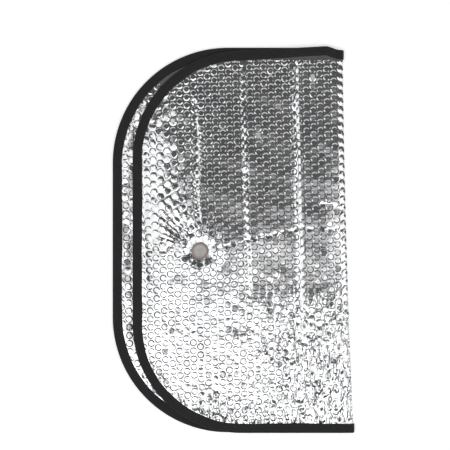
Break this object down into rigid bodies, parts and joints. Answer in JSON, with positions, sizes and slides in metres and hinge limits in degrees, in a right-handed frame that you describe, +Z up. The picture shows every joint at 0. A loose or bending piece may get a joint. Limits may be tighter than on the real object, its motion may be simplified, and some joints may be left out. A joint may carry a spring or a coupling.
{
  "type": "car side window sunshade",
  "caption": "Foldable silver bubble-foil window shade with rounded corners, fabric edge tape and suction cups, shown folded in half and lying flat.",
  "frame": {"origin": "under the middle of the folded shade, on the surface it lies on", "axes": "+Z up out of the lying shade, +X from the side edges to the fold, +Y along the fold"},
  "size_m": [0.2274, 0.3626, 0.0168],
  "materials": {
    "foil": "metallised film over small air bubbles, bright and slightly crinkled",
    "tape": "matt black woven edge tape",
    "cup": "clear soft plastic, smooth and slightly smoky"
  },
  "bodies": {
    "root": {"foil_sheet": "foil", "edge_tape": "tape", "upper_suction_cup": "cup", "lower_suction_cup": "cup"}
  },
  "joints": []
}
